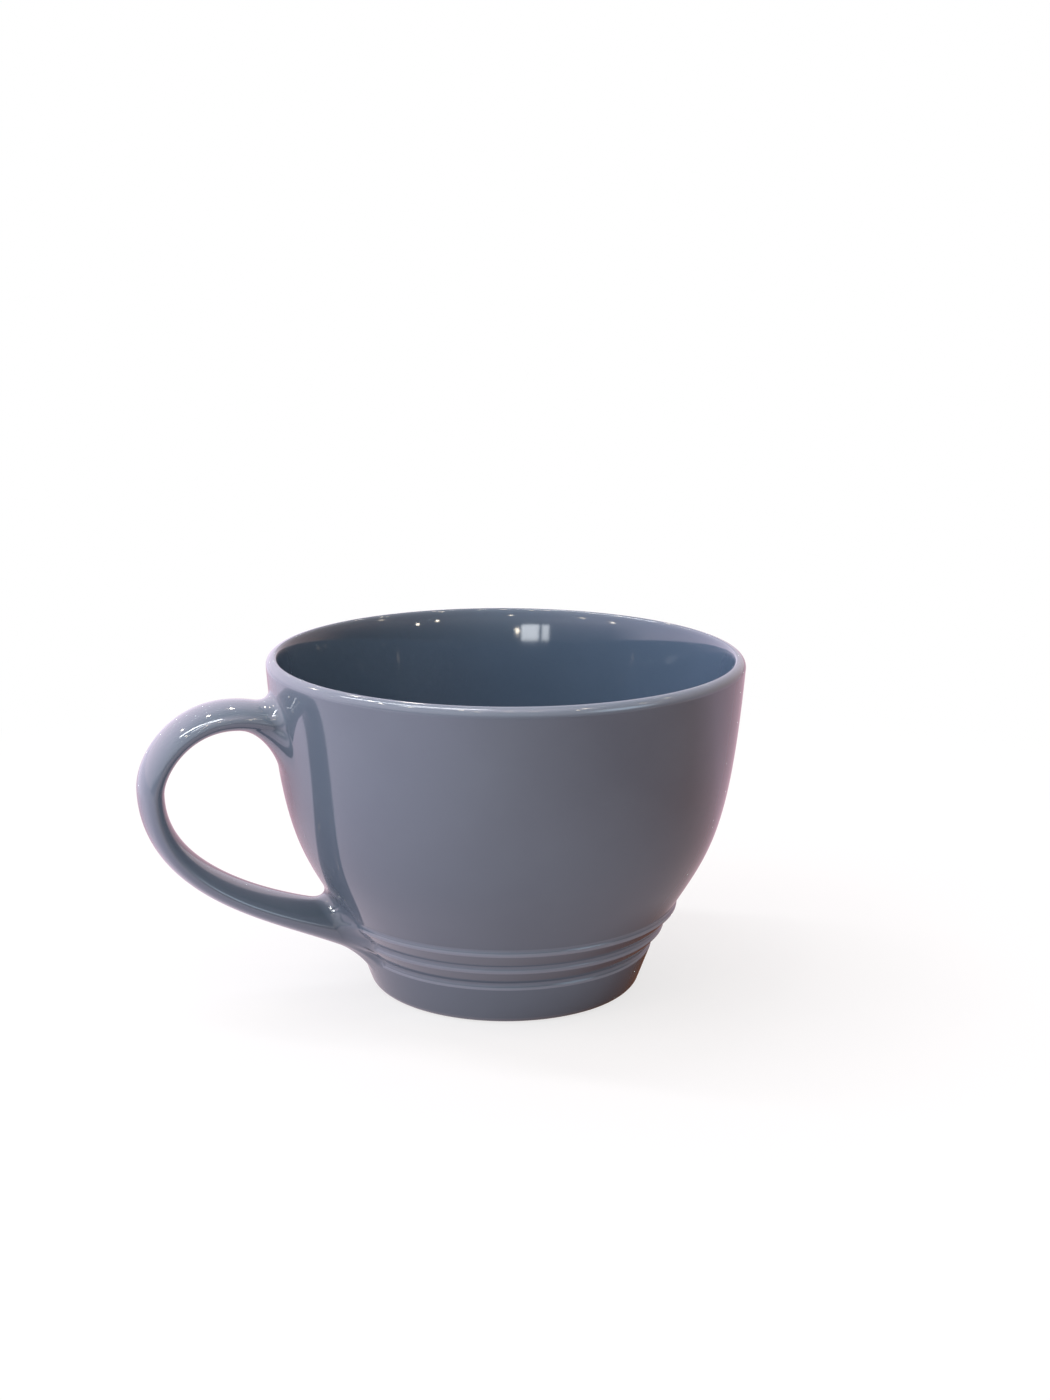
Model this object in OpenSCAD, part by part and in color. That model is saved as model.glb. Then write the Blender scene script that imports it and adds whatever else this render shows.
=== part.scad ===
// Soup mug: a turned stoneware bowl on three stepped rings, with one luted strap handle and two glaze coats.
// Millimetres. The mug stands on z = 0, its axis is Z and the handle points along -X.

/* [Bowl] */
// Outer diameter at the lip
rim_d = 115; // [108:1:122]
// Height from the table to the top of the lip
mug_h = 82; // [78:1:88]
// Thickness of the wall at the lip, which is rounded outside and eased off inside
lip_t = 4.1; // [3.6:0.1:4.6]
// Thickness of the wall where it comes down to the rings
belly_t = 4.6; // [4:0.1:5.5]
// How far the upper wall leans out for each unit of height
wall_lean = 0.07; // [0.04:0.01:0.11]
// Height of the drinking floor at the axis
floor_h = 8; // [7:0.5:10]

/* [Stepped rings] */
// Diameter of the top ring
ring_d = 85.2; // [83:0.2:88]
// Height of the top ring above the table
ring_h = 20.3; // [19:0.1:22]
// Drop from one ring to the next
ring_pitch = 5.2; // [5:0.1:5.8]
// Radius lost from one ring to the next
ring_taper = 3.1; // [2.7:0.1:3.4]
// How far a ring stands out from the cove above it
ring_step = 0.5; // [0.3:0.1:0.7]

/* [Foot] */
// Diameter of the foot, before its lower edge is rounded
foot_d = 65.6; // [63:0.2:68]
// Radius of the rounded lower edge
foot_edge = 2.4; // [2:0.1:3]
// Width of the ring that rests on the table
rest_w = 4; // [3:0.5:6]
// Depth of the hollow under the foot
recess_h = 2.5; // [1.5:0.5:3.5]

/* [Handle] */
// Width of the strap
handle_w = 18; // [14:0.5:21]
// Thickness of the strap at the bend
handle_t = 6; // [5.5:0.1:7]
// Thickness that the strap swells to at its upper root
upper_root_t = 7.4; // [6.4:0.2:9]
// Thickness that the strap swells to at its lower root
lower_root_t = 11; // [8:0.2:12]
// How far the loop stands out beyond the lip
handle_reach = 31.6; // [28:0.2:36]
// Drop from the lip to the strap's centre where it leaves the wall
upper_root_drop = 14; // [12:0.5:18]
// Drop from the lip to the height at which the loop is furthest out
bend_drop = 27.6; // [25:0.2:32]
// Drop from the top ring to the strap's centre where it comes back to the wall
lower_root_drop = 3.5; // [0.5:0.1:4.5]
// Radius of the web under the upper root, inside the loop
upper_web_r = 5.5; // [4:0.5:8]
// Radius of the heel over the upper root
upper_heel_r = 3; // [2:0.5:5]
// Radius of the web over the lower root, inside the loop
lower_web_r = 5; // [3:0.5:7]
// Radius of the heel under the lower root
lower_heel_r = 4; // [2:0.5:6]
// Radius of the fillets down the two sides of both roots
root_side_r = 2.5; // [1.5:0.1:4]

/* [Glaze and slip] */
// Thickness of the fired glaze
glaze_t = 0.4; // [0.3:0.05:0.5]
// Thickness of the slip between the handle and the bowl
slip_t = 0.6; // [0.5:0.05:1]

/* [Hidden] */

clay = "#8a7f78";
slip = "#a3978d";
glaze = "#6f717f";
liner = "#4a5a6c";

ring_count = 3;
ring_rise = 1.1;
ridge_r = 0.9;
cove_r = 0.9;
corner_steps = 4;
foot_steps = 6;
bare_steps = 3;
wall_steps = 18;
lip_steps = 8;
floor_steps = 16;
turn_facets = 96;

rim_r = rim_d / 2;
lip_r = lip_t / 2;
rest_out = foot_d / 2 - foot_edge;
rest_in = rest_out - rest_w;
recess_draft = recess_h / 2;

// Where the smooth wall starts, out and up from the top ring, and how strongly its ends pull on the curve
wall_out = 1;
wall_up = 3.6;
wall_from = ridge(0) + [wall_out, wall_up];
lean = atan(wall_lean);
lip_centre = [rim_r - lip_r, mug_h - lip_r];
wall_to = lip_centre + lip_r * [cos(lean), -sin(lean)];
wall_span = wall_to.y - wall_from.y;
wall_low_dir = unit(wall_from - cove(0));
wall_low_pull = 0.26;
wall_top_pull = 0.68;

// Share of the wall's curve above which its inside eases out to the lip, and how strongly the ends pull
ease_share = 0.76;
ease_crown_pull = 0.7;
ease_wall_pull = 0.6;

// How strongly the wall and the middle of the floor pull on the curve between them
floor_wall_pull = 0.75;
floor_mid_pull = 0.55;

// Heights of the strap's two roots, of its bend, and of the plane that parts the two joints
upper_root_h = mug_h - upper_root_drop;
lower_root_h = ring_h - lower_root_drop;
bend_h = mug_h - bend_drop;
joint_split_h = (upper_root_h + lower_root_h) / 2;

// Straight lead of the strap into the wall at each root, later cut off by the bowl
root_sink = 2;
root_lead = 9;
arm_steps = 26;
section_sides = 22;
root_crowding = 1.5;
fillet_seam = 0.06;
swell_power = 5;

// Slope of the strap at its two roots, and how strongly each end of its two arms pulls on the curve
upper_rise = 26;
lower_rise = 17;
upper_root_pull = 0.73;
upper_bend_pull = 0.54;
lower_bend_pull = 0.6;
lower_root_pull = 0.45;

function unit(v) = v / norm(v);

function bezier_point(p, t) =
    let (s = 1 - t)
    s * s * s * p[0] + 3 * s * s * t * p[1] + 3 * s * t * t * p[2] + t * t * t * p[3];

function bezier_slope(p, t) =
    let (s = 1 - t)
    unit(s * s * (p[1] - p[0]) + 2 * s * t * (p[2] - p[1]) + t * t * (p[3] - p[2]));

function bezier(p, steps) = [for (i = [0:steps]) bezier_point(p, i / steps)];

function arc(centre, r, from, turn, steps) =
    [for (i = [0:steps]) let (a = from + turn * i / steps) centre + r * [cos(a), sin(a)]];

// The arc that rounds corner b of the path a, b, c, no further along than the middle of its shorter side
function rounded(a, b, c, radius, steps) =
    let (
        to_a = unit(a - b),
        to_c = unit(c - b),
        half = acos(to_a * to_c) / 2,
        r = min(radius, tan(half) * min(norm(a - b), norm(c - b)) / 2),
        centre = b + unit(to_a + to_c) * r / sin(half),
        start = b + to_a * r / tan(half) - centre,
        side = sign(to_c.x * to_a.y - to_c.y * to_a.x)
    )
    arc(centre, r, atan2(start.y, start.x), side * (180 - 2 * half), steps);

function ridge(k) = [ring_d / 2 - k * ring_taper, ring_h - k * ring_pitch];

function cove(k) = ridge(k) + [-ring_step, ring_rise];

function slice(list, from, to) = [for (i = [from:to]) list[i]];

function reversed(list) = [for (i = [len(list) - 1:-1:0]) list[i]];

// Corners of the stepped foot from the table up, each with its radius
step_corners = concat(
    [[foot_d / 2, 0]],
    [for (k = [ring_count - 1:-1:0], corner = [ridge(k), cove(k)]) corner]
);
step_radii = [for (i = [1:len(step_corners) - 1]) i % 2 == 1 ? ridge_r : cove_r];
step_path = concat([[rest_in, 0]], step_corners, [wall_from]);

foot_path = slice(
    rounded(step_path[0], step_path[1], step_path[2], foot_edge, foot_steps), bare_steps, foot_steps
);
rings_path = [
    for (i = [1:len(step_corners) - 1])
        each rounded(step_path[i], step_path[i + 1], step_path[i + 2], step_radii[i - 1], corner_steps)
];
wall_curve = [
    wall_from,
    wall_from + wall_low_dir * wall_span * wall_low_pull,
    wall_to - unit([wall_lean, 1]) * wall_span * wall_top_pull,
    wall_to
];
wall_path = bezier(wall_curve, wall_steps);

// The inside of the wall, whose thickness grows from the lip down to the rings
function wall_inside(share) =
    let (along = bezier_slope(wall_curve, share))
    bezier_point(wall_curve, share) + (belly_t + (lip_t - belly_t) * share) * [-along.y, along.x];

ease_to = wall_inside(ease_share);
ease_curve = [
    lip_centre + [0, lip_r],
    lip_centre + [-lip_r * ease_crown_pull, lip_r],
    ease_to + bezier_slope(wall_curve, ease_share) * (mug_h - ease_to.y) * ease_wall_pull,
    ease_to
];
lip_path = concat(
    slice(arc(lip_centre, lip_r, -lean, 90 + lean, lip_steps), 1, lip_steps),
    slice(bezier(ease_curve, lip_steps), 1, lip_steps)
);

floor_from = wall_inside(0);
floor_curve = [
    floor_from,
    floor_from - wall_low_dir * (floor_from.y - floor_h) * floor_wall_pull,
    [floor_from.x * floor_mid_pull, floor_h],
    [0, floor_h]
];
inside_path = concat(
    [for (i = [wall_steps - 1:-1:0]) wall_inside(ease_share * i / wall_steps)],
    slice(bezier(floor_curve, floor_steps), 1, floor_steps)
);

// The glazed outline: up the outside from the glaze line, over the lip and down to the middle of the floor
glazed = concat(foot_path, rings_path, wall_path, lip_path, inside_path);
crown = len(foot_path) + len(rings_path) + len(wall_path) + lip_steps - 1;
floor_end = len(glazed) - 1;

// The glazed outline moved by d into the clay, or out of it where d is negative
function sunk(d) =
    [
        for (i = [0:floor_end])
            let (
                ahead = glazed[min(i + 1, floor_end)],
                behind = glazed[max(i - 1, 0)],
                along = i == floor_end ? [-1, 0] : unit(ahead - behind)
            )
            glazed[i] + d * [-along.y, along.x]
    ];

bare = sunk(glaze_t);

// The outside of the bowl without its coves: a straight taper over the tips of the rings, then the wall
plain_path = concat(
    [foot_path[len(foot_path) - 1]],
    [for (k = [ring_count - 1:-1:0]) ridge(k)],
    wall_path
);
plain_table = [for (p = plain_path) [p.y, p.x]];

function wall_r(z) = lookup(z, plain_table);

// Distance of a point from the plain wall, square to it, with the wall's slope taken over a short height
slope_h = 1;
function wall_gap(p) =
    let (tilt = (wall_r(p.z + slope_h / 2) - wall_r(p.z - slope_h / 2)) / slope_h)
    (norm([p.x, p.y]) - wall_r(p.z)) / norm([1, tilt]);

// The strap's centreline in the plane of the handle: out from the upper root, round the bend and back
upper_root = [wall_r(upper_root_h) - root_sink, upper_root_h];
lower_root = [wall_r(lower_root_h) - root_sink, lower_root_h];
bend = [rim_r + handle_reach - handle_t / 2, bend_h];
upper_dir = [cos(upper_rise), sin(upper_rise)];
lower_dir = [cos(lower_rise), sin(lower_rise)];
upper_arm = [
    upper_root,
    upper_root + upper_dir * (bend.x - upper_root.x) * upper_root_pull,
    bend + [0, (upper_root_h - bend_h) * upper_bend_pull],
    bend
];
lower_arm = [
    bend,
    bend - [0, (bend_h - lower_root_h) * lower_bend_pull],
    lower_root + lower_dir * (bend.x - lower_root.x) * lower_root_pull,
    lower_root
];

// Thickness of the strap at a share of the way from the bend to a root
function swollen(root_t, share) = handle_t + (root_t - handle_t) * pow(share, swell_power);

// Stations along the strap, crowded towards the roots: each has its point, direction of travel and thickness
stations = concat(
    [[upper_root - upper_dir * root_lead, upper_dir, upper_root_t]],
    [
        for (i = [0:arm_steps]) let (t = pow(i / arm_steps, root_crowding))
            [bezier_point(upper_arm, t), bezier_slope(upper_arm, t), swollen(upper_root_t, 1 - t)]
    ],
    [
        for (i = [1:arm_steps]) let (t = 1 - pow(1 - i / arm_steps, root_crowding))
            [bezier_point(lower_arm, t), bezier_slope(lower_arm, t), swollen(lower_root_t, t)]
    ],
    [[lower_root - lower_dir * root_lead, -lower_dir, lower_root_t]]
);

// Growth of a fillet of radius r at a distance gap from the wall, for a surface sunk by d
function flare(gap, r, d) =
    let (reach = r - max(gap, r * fillet_seam))
    reach <= 0 ? 0 : r + d - sqrt((r + d) * (r + d) - reach * reach);

// One point of the strap's skin: station i, angle a around the oval section, sunk by d under the glaze
function strap_point(i, a, d) =
    let (
        centre = stations[i][0],
        along = stations[i][1],
        outer = [along.y, 0, along.x],
        thick = stations[i][2],
        oval = [thick / 2 * cos(a), handle_w / 2 * sin(a)],
        facing = unit([cos(a) / thick, sin(a) / handle_w]),
        skin = [-centre.x, 0, centre.y] + oval.x * outer + [0, oval.y, 0],
        web = i <= arm_steps + 1 ? upper_web_r : lower_web_r,
        heel = i <= arm_steps + 1 ? upper_heel_r : lower_heel_r,
        fillet = root_side_r + (cos(a) < 0 ? web - root_side_r : heel - root_side_r) * abs(cos(a)),
        growth = flare(wall_gap(skin), fillet, d) - d
    )
    skin + growth * (facing.x * outer + [0, facing.y, 0]);

module strap(d) {
    last = len(stations) - 1;
    points = [
        for (i = [0:last], j = [0:section_sides - 1]) strap_point(i, 360 * j / section_sides, d)
    ];
    sides = [
        for (i = [0:last - 1], j = [0:section_sides - 1])
            let (
                here = i * section_sides,
                ahead = here + section_sides,
                next = (j + 1) % section_sides
            )
            each [
                [here + j, ahead + next, here + next],
                [here + j, ahead + j, ahead + next]
            ]
    ];
    start = [for (j = [0:section_sides - 1]) j];
    end = [for (j = [section_sides - 1:-1:0]) last * section_sides + j];
    polyhedron(points, concat(sides, [start, end]));
}

module turned(outline) {
    rotate_extrude($fn = turn_facets) polygon(outline);
}

// The bare outside of the bowl, filled in to the axis
module blank() {
    outside = slice(bare, 0, crown);
    turned(concat([[0, outside[0].y]], outside, [[0, outside[crown].y]]));
}

// The seat that the ends of the strap are trimmed to, a bed of slip away from the tips of the rings
module seat() {
    grown = [for (p = plain_path) p + [slip_t - glaze_t, 0]];
    turned(concat([[0, plain_path[0].y]], grown, [[0, wall_to.y]]));
}

module bowl() {
    color(clay)
        turned(concat(
            [[0, recess_h], [rest_in - recess_draft, recess_h], [rest_in, 0], [rest_out, 0]],
            bare
        ));
}

module handle() {
    color(clay)
        difference() {
            strap(glaze_t);
            seat();
        }
}

// The thin bed of slip that fills the space between one end of the strap and the wall
module slip_bed(from_h, to_h) {
    color(slip)
        difference() {
            intersection() {
                strap(glaze_t);
                seat();
                translate([-rim_r - handle_reach, -rim_r, from_h])
                    cube([rim_r + handle_reach, rim_d, to_h - from_h]);
            }
            blank();
        }
}

module upper_slip_joint() {
    slip_bed(joint_split_h, mug_h);
}

module lower_slip_joint() {
    slip_bed(0, joint_split_h);
}

module liner_glaze() {
    color(liner)
        turned(concat(slice(glazed, crown, floor_end), reversed(slice(bare, crown, floor_end))));
}

// One coat over the outside of the bowl and round the strap, from the glaze line to the crown of the lip
module outer_glaze() {
    color(glaze)
        difference() {
            union() {
                turned(concat(slice(glazed, 0, crown), reversed(slice(bare, 0, crown))));
                difference() {
                    strap(0);
                    blank();
                }
            }
            strap(glaze_t);
        }
}

bowl();
handle();
upper_slip_joint();
lower_slip_joint();
liner_glaze();
outer_glaze();
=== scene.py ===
import math

import bmesh
import bpy
import numpy as np
from mathutils import Matrix, Vector
from mathutils.geometry import delaunay_2d_cdt


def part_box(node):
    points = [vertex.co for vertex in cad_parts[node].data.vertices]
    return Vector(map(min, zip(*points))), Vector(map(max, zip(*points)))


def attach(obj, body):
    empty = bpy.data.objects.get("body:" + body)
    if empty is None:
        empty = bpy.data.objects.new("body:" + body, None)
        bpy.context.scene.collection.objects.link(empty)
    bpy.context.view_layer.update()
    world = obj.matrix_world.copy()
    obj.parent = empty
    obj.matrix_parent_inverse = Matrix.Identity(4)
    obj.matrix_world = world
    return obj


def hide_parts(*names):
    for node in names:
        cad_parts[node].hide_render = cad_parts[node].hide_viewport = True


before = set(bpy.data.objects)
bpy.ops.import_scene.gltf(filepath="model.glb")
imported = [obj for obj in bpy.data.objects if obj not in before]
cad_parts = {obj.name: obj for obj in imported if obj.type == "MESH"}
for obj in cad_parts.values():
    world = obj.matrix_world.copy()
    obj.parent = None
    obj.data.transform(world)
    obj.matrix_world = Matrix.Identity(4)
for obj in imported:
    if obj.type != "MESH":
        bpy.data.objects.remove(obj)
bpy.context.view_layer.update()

# Sizes of the mug in millimetres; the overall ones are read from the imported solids
MM = 0.001
coat_low, coat_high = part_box("outer_glaze")
liner_low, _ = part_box("liner_glaze")
GLAZE_T = 0.4
RIM_R = coat_high.x / MM
MUG_H = coat_high.z / MM
LOOP_R = -coat_low.x / MM
FLOOR_H = liner_low.z / MM + GLAZE_T
LIP_T = 4.1
BELLY_T = 4.6
WALL_LEAN = math.atan(0.07)
RING_COUNT = 3
RING_R = 42.6
RING_H = 20.3
RING_PITCH = 5.2
RING_TAPER = 3.1
RING_STEP = 0.5
RING_RISE = 1.1
RIDGE_R = 0.9
COVE_R = 0.9
WALL_OUT = 1
WALL_UP = 3.6
FOOT_R = 32.8
FOOT_EDGE = 2.4
REST_W = 4
RECESS_H = 2.5
RECESS_EDGE = 0.6
HANDLE_W = 18
HANDLE_T = 6
UPPER_ROOT_T = 7.4
LOWER_ROOT_T = 11
UPPER_ROOT_DROP = 14
BEND_DROP = 27.6
LOWER_ROOT_DROP = 3.5

# How far the fillet at each root reaches along the strap and along the wall:
# in the loop, outside it and beside it
UPPER_FILLET = {"strap": (10.5, 4.5, 3.0), "wall": (10.0, 3.5, 2.8)}
LOWER_FILLET = {"strap": (5.5, 6.5, 5.2), "wall": (5.0, 6.0, 4.8)}
FILLET_PULL = 0.55

# Fineness of the meshes
TURN_STEPS = 224
ARC_STEPS = 8
WALL_STEPS = 60
FLOOR_STEPS = 54
LIP_STEPS = 16
ROW_GAP = 0.9
STRAP_SIDES = 80
STRAP_ROWS = 190
FILLET_ROWS = 14
RUN_STEPS = 300
HALVINGS = 40

# Room between a fillet and the wall's own mesh, and steps small enough to count as none
STITCH_MARGIN = 1.2
AXIS_R = 0.05
SAME_POINT = 1e-4
NUDGE = 1e-4
MERGE_GAP = 1e-6


def unit(v):
    return v / np.linalg.norm(v, axis=-1, keepdims=True)


def bezier(points, t):
    """Points at shares t of a cubic curve, or of several curves side by side."""
    p = np.asarray(points, float)
    t = np.reshape(t, (-1, *[1] * p[0].ndim))
    s = 1 - t
    return s**3 * p[0] + 3 * s**2 * t * p[1] + 3 * s * t**2 * p[2] + t**3 * p[3]


def bezier_direction(points, t):
    """The way that a cubic curve runs at shares t of it."""
    p = np.asarray(points, float)
    t = np.atleast_1d(t)[:, None]
    s = 1 - t
    return unit(s**2 * (p[1] - p[0]) + 2 * s * t * (p[2] - p[1]) + t**2 * (p[3] - p[2]))


def arc(centre, r, start, turn, steps):
    a = start + turn * np.linspace(0, 1, steps + 1)
    return centre + r * np.column_stack([np.cos(a), np.sin(a)])


def rounded(a, b, c, r):
    """The arc that rounds corner b of the path a, b, c."""
    a, b, c = (np.asarray(p, float) for p in (a, b, c))
    to_a, to_c = unit(a - b), unit(c - b)
    half = math.acos(to_a @ to_c) / 2
    r = min(r, math.tan(half) * min(np.linalg.norm(a - b), np.linalg.norm(c - b)) / 2)
    centre = b + unit(to_a + to_c) * r / math.sin(half)
    start = b + to_a * r / math.tan(half) - centre
    side = math.copysign(1, to_c[0] * to_a[1] - to_c[1] * to_a[0])
    return arc(centre, r, math.atan2(start[1], start[0]), side * (math.pi - 2 * half), ARC_STEPS)


# The turned outline, as radius and height

def ridge(k):
    """The tip of a ring, counted down from the top one."""
    return np.array([RING_R - k * RING_TAPER, RING_H - k * RING_PITCH])


def cove(k):
    """The inner corner just above that ring."""
    return ridge(k) + [-RING_STEP, RING_RISE]


# Each pull is how far a curve keeps the direction of its end, as a share of what it spans
WALL_LOW_PULL = 0.26
WALL_TOP_PULL = 0.68
EASE_SHARE = 0.76
EASE_CROWN_PULL = 0.7
EASE_WALL_PULL = 0.6
FLOOR_WALL_PULL = 0.75
FLOOR_MID_PULL = 0.55
LIP_R = LIP_T / 2
LIP_CENTRE = np.array([RIM_R - LIP_R, MUG_H - LIP_R])
LEAN_DIR = np.array([math.sin(WALL_LEAN), math.cos(WALL_LEAN)])
WALL_FROM = ridge(0) + [WALL_OUT, WALL_UP]
WALL_TO = LIP_CENTRE + LIP_R * np.array([math.cos(WALL_LEAN), -math.sin(WALL_LEAN)])
WALL_LOW_DIR = unit(WALL_FROM - cove(0))
WALL_SPAN = WALL_TO[1] - WALL_FROM[1]
WALL_CURVE = [
    WALL_FROM,
    WALL_FROM + WALL_LOW_DIR * WALL_SPAN * WALL_LOW_PULL,
    WALL_TO - LEAN_DIR * WALL_SPAN * WALL_TOP_PULL,
    WALL_TO,
]
REST_OUT = FOOT_R - FOOT_EDGE
REST_IN = REST_OUT - REST_W


def outside_path():
    """Up the outside, from the glaze line on the foot to the crown of the lip."""
    corners = [(REST_IN, 0), (FOOT_R, 0)]
    for k in reversed(range(RING_COUNT)):
        corners += [ridge(k), cove(k)]
    corners.append(WALL_FROM)
    parts = [rounded(*corners[:3], FOOT_EDGE)[ARC_STEPS // 2:]]
    for i in range(1, len(corners) - 2):
        parts.append(rounded(*corners[i:i + 3], RIDGE_R if i % 2 else COVE_R))
    parts.append(bezier(WALL_CURVE, np.linspace(0, 1, WALL_STEPS + 1)))
    parts.append(arc(LIP_CENTRE, LIP_R, -WALL_LEAN, math.pi / 2 + WALL_LEAN, LIP_STEPS))
    return evened(np.vstack(parts))


def wall_inside(share):
    """Points on the inside of the wall, at shares of its curve."""
    along = bezier_direction(WALL_CURVE, share)
    thick = BELLY_T + (LIP_T - BELLY_T) * share
    return bezier(WALL_CURVE, share) + thick[:, None] * np.column_stack([-along[:, 1], along[:, 0]])


def inside_path():
    """Down the inside, from the crown of the lip to the middle of the floor."""
    wall = wall_inside(np.linspace(EASE_SHARE, 0, WALL_STEPS + 1))
    top, foot = wall[0], wall[-1]
    crown = LIP_CENTRE + [0, LIP_R]
    rise = bezier_direction(WALL_CURVE, EASE_SHARE)[0] * (MUG_H - top[1]) * EASE_WALL_PULL
    ease = [crown, crown - [LIP_R * EASE_CROWN_PULL, 0], top + rise, top]
    floor = [
        foot,
        foot - WALL_LOW_DIR * (foot[1] - FLOOR_H) * FLOOR_WALL_PULL,
        (foot[0] * FLOOR_MID_PULL, FLOOR_H),
        (0, FLOOR_H),
    ]
    lip = bezier(ease, np.linspace(0, 1, LIP_STEPS + 1))
    return evened(np.vstack([lip, wall, bezier(floor, np.linspace(0, 1, FLOOR_STEPS + 1))]))


def evened(path):
    """The same path without repeated points, and with points added along its long straight stretches."""
    keep = np.r_[True, np.linalg.norm(np.diff(path, axis=0), axis=1) > SAME_POINT]
    path = path[keep]
    points = [path[:1]]
    for a, b in zip(path, path[1:]):
        count = math.ceil(np.linalg.norm(b - a) / ROW_GAP)
        points.append(a + (b - a) * np.linspace(0, 1, count + 1)[1:, None])
    return np.vstack(points)


def path_normals(path):
    """Unit normals that point out of the clay, for a path that runs up the outside and down the inside."""
    step = unit(np.diff(path, axis=0))
    along = unit(np.vstack([step[:1], step[:-1] + step[1:], step[-1:]]))
    return np.column_stack([along[:, 1], -along[:, 0]])


def thinning_and_painted_light(path):
    """The path's bend: over 0 on its ridges and lips, where the glaze is paled for thin glaze and a painted
    highlight, and under 0 in its coves, for pooled glaze and painted light.
    """
    step = np.diff(path, axis=0)
    angle = np.unwrap(np.arctan2(step[:, 1], step[:, 0]))
    length = np.linalg.norm(step, axis=1)
    bend = np.r_[0, np.diff(angle) / ((length[1:] + length[:-1]) / 2), 0]
    return np.clip(bend, -1, 1)


class Skin:
    """A mesh in the making: points, the normals that shade them, how thin the glaze is there and how much
    painted light it gets, and faces.
    """

    def __init__(self):
        self.points = np.empty((0, 3))
        self.normals = np.empty((0, 3))
        self.thin_and_highlight = np.empty(0)
        self.faces = []

    def add(self, points, normals, thin_and_highlight=0.0):
        first = len(self.points)
        self.points = np.vstack([self.points, points])
        self.normals = np.vstack([self.normals, normals])
        self.thin_and_highlight = np.r_[self.thin_and_highlight, np.broadcast_to(thin_and_highlight, len(points))]
        return np.arange(first, len(self.points))

    def turn(self, path, normals, thin_and_highlight=None):
        """Adds a ring of points for each point of the path, or one point where the path meets the axis."""
        a = 2 * math.pi * np.arange(TURN_STEPS) / TURN_STEPS
        thin_and_highlight = np.zeros(len(path)) if thin_and_highlight is None else thin_and_highlight
        rows = []
        for (r, z), (out, up), t in zip(path, normals, thin_and_highlight):
            if r < AXIS_R:
                rows.append(np.repeat(self.add([(0, 0, z)], [(0, 0, up)], t), TURN_STEPS))
                continue
            ring = np.column_stack([r * np.cos(a), r * np.sin(a), np.full(TURN_STEPS, z)])
            facing = np.column_stack([out * np.cos(a), out * np.sin(a), np.full(TURN_STEPS, up)])
            rows.append(self.add(ring, facing, t))
        return rows

    def bridge(self, low, high, skip=None):
        """Faces between two rings, apart from those that skip marks."""
        for k in range(len(low)):
            n = (k + 1) % len(low)
            if skip is None or not skip[k]:
                face = dict.fromkeys(int(i) for i in (low[k], low[n], high[n], high[k]))
                self.faces.append(list(face))

    def drop_loose(self):
        """Drops the points that no face uses."""
        used = np.unique([i for face in self.faces for i in face])
        place = np.zeros(len(self.points), int)
        place[used] = np.arange(len(used))
        self.faces = [place[face].tolist() for face in self.faces]
        self.points = self.points[used]
        self.normals = self.normals[used]
        self.thin_and_highlight = self.thin_and_highlight[used]

    def piece(self, name, material):
        """A closed mesh of what was added, with all its faces turned outwards."""
        self.drop_loose()
        mesh = bpy.data.meshes.new(name)
        mesh.from_pydata(self.points * MM, [], self.faces)
        shell = bmesh.new()
        shell.from_mesh(mesh)
        bmesh.ops.recalc_face_normals(shell, faces=shell.faces)
        shell.to_mesh(mesh)
        shell.free()
        mesh.attributes.new("glaze_thin_and_painted_light", "FLOAT", "POINT").data.foreach_set("value", self.thin_and_highlight)
        mesh.polygons.foreach_set("use_smooth", [True] * len(mesh.polygons))
        mesh.normals_split_custom_set_from_vertices(self.normals)
        mesh.materials.append(material)
        made = bpy.data.objects.new(name, mesh)
        bpy.context.scene.collection.objects.link(made)
        return made


# The wall that the handle is joined to, as a radius for each height

OUTSIDE = outside_path()
OUTSIDE_NORMALS = path_normals(OUTSIDE)
PLAIN = np.vstack([
    [(FOOT_R, 0)],
    [ridge(k) for k in reversed(range(RING_COUNT))],
    OUTSIDE[OUTSIDE[:, 1] > WALL_FROM[1]],
])
HALF_STEP = 0.5


def plain_r(height):
    """Radius of the wall at a height, taken straight over the tips of its rings."""
    return np.interp(height, PLAIN[:, 1], PLAIN[:, 0])


def wall_gap(p):
    """Distance of points from the wall, taken over the tips of its rings, square to it."""
    z = p[:, 2]
    tilt = plain_r(z + HALF_STEP) - plain_r(z - HALF_STEP)
    return (np.hypot(p[:, 0], p[:, 1]) - plain_r(z)) / np.hypot(1, tilt)


def wall_normal(p):
    """The way that the wall faces at the height of each point."""
    z = p[:, 2]
    out = np.interp(z, OUTSIDE[:, 1], OUTSIDE_NORMALS[:, 0])
    up = np.interp(z, OUTSIDE[:, 1], OUTSIDE_NORMALS[:, 1])
    a = np.arctan2(p[:, 1], p[:, 0])
    return unit(np.column_stack([out * np.cos(a), out * np.sin(a), up]))


def on_wall(p):
    """Points moved straight in or out to the wall's surface."""
    r = np.interp(p[:, 2], OUTSIDE[:, 1], OUTSIDE[:, 0])
    a = np.arctan2(p[:, 1], p[:, 0])
    return np.column_stack([r * np.cos(a), r * np.sin(a), p[:, 2]])


# The strap: its centreline runs from u = 0 at the upper root by u = 1 at the bend to u = 2 at the lower root

ROOT_SINK = 2
ROOT_LEAD = 9
SWELL_POWER = 5
UPPER_RISE = math.radians(26)
LOWER_RISE = math.radians(17)
UPPER_ROOT_PULL = 0.73
BEND_UP_PULL = 0.54
BEND_DOWN_PULL = 0.6
LOWER_ROOT_PULL = 0.45
BEND_U = 1

# Stretches of u, from inside the wall to outside it, that hold each root
UPPER_SEARCH = (-1, 0.5)
LOWER_SEARCH = (3, 1.5)

# How far the fillets take the cove colour, for pooled glaze and painted light, and how far the strap's edges
# are paled, for thin glaze and a painted highlight
ROOT_POOL_AND_PAINTED_LIGHT = 0.5
STRAP_THIN_AND_HIGHLIGHT = 0.35


def root_point(height):
    """Where the strap's centreline ends, a little inside the wall."""
    return np.array([plain_r(height) - ROOT_SINK, height])


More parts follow.
